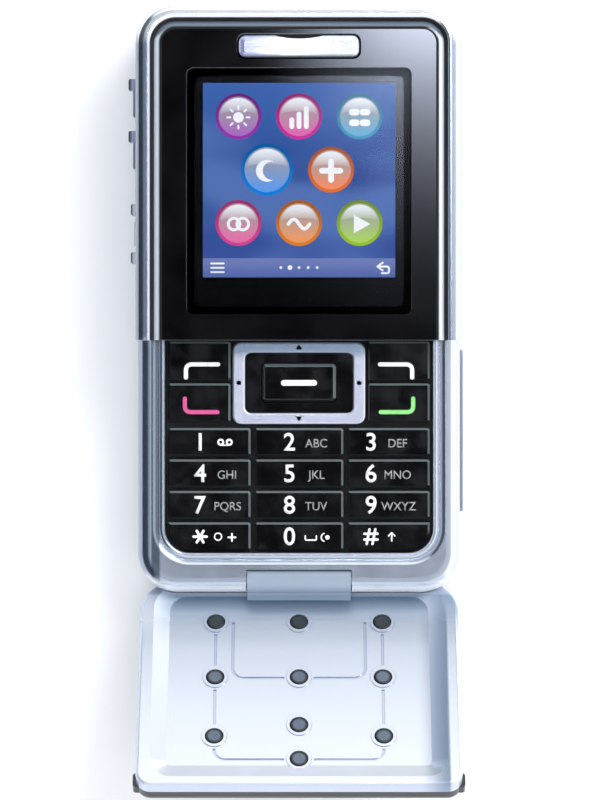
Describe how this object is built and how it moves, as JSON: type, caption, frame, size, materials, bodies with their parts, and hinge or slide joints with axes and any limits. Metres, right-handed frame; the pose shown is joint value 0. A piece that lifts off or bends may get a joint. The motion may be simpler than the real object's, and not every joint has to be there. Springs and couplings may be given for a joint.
{
  "type": "flip phone",
  "caption": "Pocket phone with a keypad under a bottom-hinged flip, a large display above a step, a tilting navigation ring, side keys and a sliding battery cover.",
  "frame": {"origin": "centre of the flat back, on the plane the phone lies on", "axes": "+X to the user's right, +Y towards the earpiece end, +Z out of the display; rest pose has the flip open"},
  "size_m": [0.0486, 0.1131, 0.031],
  "materials": {
    "silver_frame": "satin silver paint with a cool tint",
    "rear_silver": "satin silver paint",
    "flip_silver": "glossy silver lacquer",
    "flip_black": "piano black",
    "inner_black": "fine matt",
    "bezel_black": "piano black",
    "lens": "clear hard-coated window",
    "picture": "lit display panel in its metal frame",
    "chrome_bar": "polished",
    "key_black": "gloss black with white printed signs",
    "ring_silver": "satin silver",
    "plunger_grey": "dark grey rubber-coated plastic",
    "side_silver": "satin silver paint",
    "cover_grey": "dark grey",
    "steel": "plain",
    "brass_gold": "gold plated",
    "board_green": "solder mask",
    "battery_shell": "fine matt",
    "camera_glass": "clear window"
  },
  "bodies": {
    "phone_body": {"rear_housing": "rear_silver", "front_housing": "inner_black", "lower_frame": "silver_frame", "upper_frame": "silver_frame", "display_bezel": "bezel_black", "display_lens": "lens", "lcd_module": "picture", "earpiece_cover": "chrome_bar", "earpiece_receiver": "inner_black", "main_board": "board_green", "dome_sheet": "steel", "battery": "battery_shell", "battery_contacts": "brass_gold", "sim_holder": "steel", "camera_module": "inner_black", "camera_window": "camera_glass", "loudspeaker": "steel", "vibration_motor": "steel", "microphone": "steel", "io_connector": "steel", "antenna": "inner_black", "chassis_screws": "steel", "hinge_shaft": "steel"},
    "flip": {"flip_inner_cover": "flip_silver", "flip_outer_cover": "flip_black"},
    "battery_cover": {"battery_cover": "rear_silver"},
    "card_door": {"card_door": "side_silver"},
    "connector_cover": {"connector_cover": "cover_grey"},
    "side_key_up": {"side_key_up": "side_silver"},
    "side_key_down": {"side_key_down": "side_silver"},
    "nav_rocker": {"nav_rocker": "inner_black"},
    "nav_ring": {"nav_ring": "ring_silver", "nav_plate": "key_black"},
    "nav_centre": {"nav_centre": "key_black"},
    "plunger_star": {"plunger_star": "plunger_grey"},
    "plunger_0": {"plunger_0": "plunger_grey"},
    "plunger_hash": {"plunger_hash": "plunger_grey"},
    "plunger_4": {"plunger_4": "plunger_grey"},
    "plunger_5": {"plunger_5": "plunger_grey"},
    "plunger_6": {"plunger_6": "plunger_grey"},
    "plunger_end": {"plunger_end": "plunger_grey"},
    "plunger_down": {"plunger_down": "plunger_grey"},
    "plunger_call": {"plunger_call": "plunger_grey"},
    "plunger_ok": {"plunger_ok": "plunger_grey"},
    "end_key": {"end_key": "key_black"},
    "call_key": {"call_key": "key_black"},
    "soft_key_left": {"soft_key_left": "key_black"},
    "soft_key_right": {"soft_key_right": "key_black"},
    "key_star": {"key_star": "key_black"},
    "key_0": {"key_0": "key_black"},
    "key_hash": {"key_hash": "key_black"},
    "key_7": {"key_7": "key_black"},
    "key_8": {"key_8": "key_black"},
    "key_9": {"key_9": "key_black"},
    "key_4": {"key_4": "key_black"},
    "key_5": {"key_5": "key_black"},
    "key_6": {"key_6": "key_black"},
    "key_1": {"key_1": "key_black"},
    "key_2": {"key_2": "key_black"},
    "key_3": {"key_3": "key_black"}
  },
  "joints": [
    {"name": "flip_hinge", "type": "hinge", "parent": "phone_body", "child": "flip", "pos_m": [0, -0.0406, 0.0113], "axis": [1, 0, 0], "range_deg": [-140.7, 0]},
    {"name": "battery_cover_slide", "type": "slide", "parent": "phone_body", "child": "battery_cover", "axis": [0, -1, 0], "range_m": [0, 0.006]},
    {"name": "card_door_hinge", "type": "hinge", "parent": "phone_body", "child": "card_door", "pos_m": [0.0226, -0.0308, 0.0056], "axis": [0, 0, -1], "range_deg": [0, 90]},
    {"name": "connector_cover_pull", "type": "slide", "parent": "phone_body", "child": "connector_cover", "axis": [-1, 0, 0], "range_m": [0, 0.0025]},
    {"name": "side_key_up_press", "type": "slide", "parent": "phone_body", "child": "side_key_up", "axis": [1, 0, 0], "range_m": [0, 0.0003], "stiffness_N_per_m": 3000},
    {"name": "side_key_down_press", "type": "slide", "parent": "phone_body", "child": "side_key_down", "axis": [1, 0, 0], "range_m": [0, 0.0003], "stiffness_N_per_m": 3000},
    {"name": "nav_tilt_up_down", "type": "hinge", "parent": "phone_body", "child": "nav_rocker", "pos_m": [0, -0.01213, 0.0122], "axis": [1, 0, 0], "range_deg": [-2, 2], "stiffness_Nm_per_rad": 0.2},
    {"name": "nav_tilt_left_right", "type": "hinge", "parent": "nav_rocker", "child": "nav_ring", "pos_m": [0, -0.01213, 0.0122], "axis": [0, 1, 0], "range_deg": [-1.2, 1.2], "stiffness_Nm_per_rad": 0.4},
    {"name": "nav_centre_press", "type": "slide", "parent": "phone_body", "child": "nav_centre", "axis": [0, 0, -1], "range_m": [0, 0.00035], "stiffness_N_per_m": 2000},
    {"name": "plunger_star_press", "type": "slide", "parent": "flip", "child": "plunger_star", "axis": [0, 0.6334, 0.7738], "range_m": [0, 0.00145], "stiffness_N_per_m": 500},
    {"name": "plunger_0_press", "type": "slide", "parent": "flip", "child": "plunger_0", "axis": [0, 0.6334, 0.7738], "range_m": [0, 0.00145], "stiffness_N_per_m": 500},
    {"name": "plunger_hash_press", "type": "slide", "parent": "flip", "child": "plunger_hash", "axis": [0, 0.6334, 0.7738], "range_m": [0, 0.00145], "stiffness_N_per_m": 500},
    {"name": "plunger_4_press", "type": "slide", "parent": "flip", "child": "plunger_4", "axis": [0, 0.6334, 0.7738], "range_m": [0, 0.00145], "stiffness_N_per_m": 500},
    {"name": "plunger_5_press", "type": "slide", "parent": "flip", "child": "plunger_5", "axis": [0, 0.6334, 0.7738], "range_m": [0, 0.00145], "stiffness_N_per_m": 500},
    {"name": "plunger_6_press", "type": "slide", "parent": "flip", "child": "plunger_6", "axis": [0, 0.6334, 0.7738], "range_m": [0, 0.00145], "stiffness_N_per_m": 500},
    {"name": "plunger_end_press", "type": "slide", "parent": "flip", "child": "plunger_end", "axis": [0, 0.6334, 0.7738], "range_m": [0, 0.00145], "stiffness_N_per_m": 500},
    {"name": "plunger_down_press", "type": "slide", "parent": "flip", "child": "plunger_down", "axis": [0, 0.6334, 0.7738], "range_m": [0, 0.00145], "stiffness_N_per_m": 500},
    {"name": "plunger_call_press", "type": "slide", "parent": "flip", "child": "plunger_call", "axis": [0, 0.6334, 0.7738], "range_m": [0, 0.00145], "stiffness_N_per_m": 500},
    {"name": "plunger_ok_press", "type": "slide", "parent": "flip", "child": "plunger_ok", "axis": [0, 0.6334, 0.7738], "range_m": [0, 0.00145], "stiffness_N_per_m": 500},
    {"name": "end_key_press", "type": "slide", "parent": "phone_body", "child": "end_key", "axis": [0, 0, -1], "range_m": [0, 0.00035], "stiffness_N_per_m": 2000},
    {"name": "call_key_press", "type": "slide", "parent": "phone_body", "child": "call_key", "axis": [0, 0, -1], "range_m": [0, 0.00035], "stiffness_N_per_m": 2000},
    {"name": "soft_key_left_press", "type": "slide", "parent": "phone_body", "child": "soft_key_left", "axis": [0, 0, -1], "range_m": [0, 0.00035], "stiffness_N_per_m": 2000},
    {"name": "soft_key_right_press", "type": "slide", "parent": "phone_body", "child": "soft_key_right", "axis": [0, 0, -1], "range_m": [0, 0.00035], "stiffness_N_per_m": 2000},
    {"name": "key_star_press", "type": "slide", "parent": "phone_body", "child": "key_star", "axis": [0, 0, -1], "range_m": [0, 0.00035], "stiffness_N_per_m": 2000},
    {"name": "key_0_press", "type": "slide", "parent": "phone_body", "child": "key_0", "axis": [0, 0, -1], "range_m": [0, 0.00035], "stiffness_N_per_m": 2000},
    {"name": "key_hash_press", "type": "slide", "parent": "phone_body", "child": "key_hash", "axis": [0, 0, -1], "range_m": [0, 0.00035], "stiffness_N_per_m": 2000},
    {"name": "key_7_press", "type": "slide", "parent": "phone_body", "child": "key_7", "axis": [0, 0, -1], "range_m": [0, 0.00035], "stiffness_N_per_m": 2000},
    {"name": "key_8_press", "type": "slide", "parent": "phone_body", "child": "key_8", "axis": [0, 0, -1], "range_m": [0, 0.00035], "stiffness_N_per_m": 2000},
    {"name": "key_9_press", "type": "slide", "parent": "phone_body", "child": "key_9", "axis": [0, 0, -1], "range_m": [0, 0.00035], "stiffness_N_per_m": 2000},
    {"name": "key_4_press", "type": "slide", "parent": "phone_body", "child": "key_4", "axis": [0, 0, -1], "range_m": [0, 0.00035], "stiffness_N_per_m": 2000},
    {"name": "key_5_press", "type": "slide", "parent": "phone_body", "child": "key_5", "axis": [0, 0, -1], "range_m": [0, 0.00035], "stiffness_N_per_m": 2000},
    {"name": "key_6_press", "type": "slide", "parent": "phone_body", "child": "key_6", "axis": [0, 0, -1], "range_m": [0, 0.00035], "stiffness_N_per_m": 2000},
    {"name": "key_1_press", "type": "slide", "parent": "phone_body", "child": "key_1", "axis": [0, 0, -1], "range_m": [0, 0.00035], "stiffness_N_per_m": 2000},
    {"name": "key_2_press", "type": "slide", "parent": "phone_body", "child": "key_2", "axis": [0, 0, -1], "range_m": [0, 0.00035], "stiffness_N_per_m": 2000},
    {"name": "key_3_press", "type": "slide", "parent": "phone_body", "child": "key_3", "axis": [0, 0, -1], "range_m": [0, 0.00035], "stiffness_N_per_m": 2000}
  ]
}
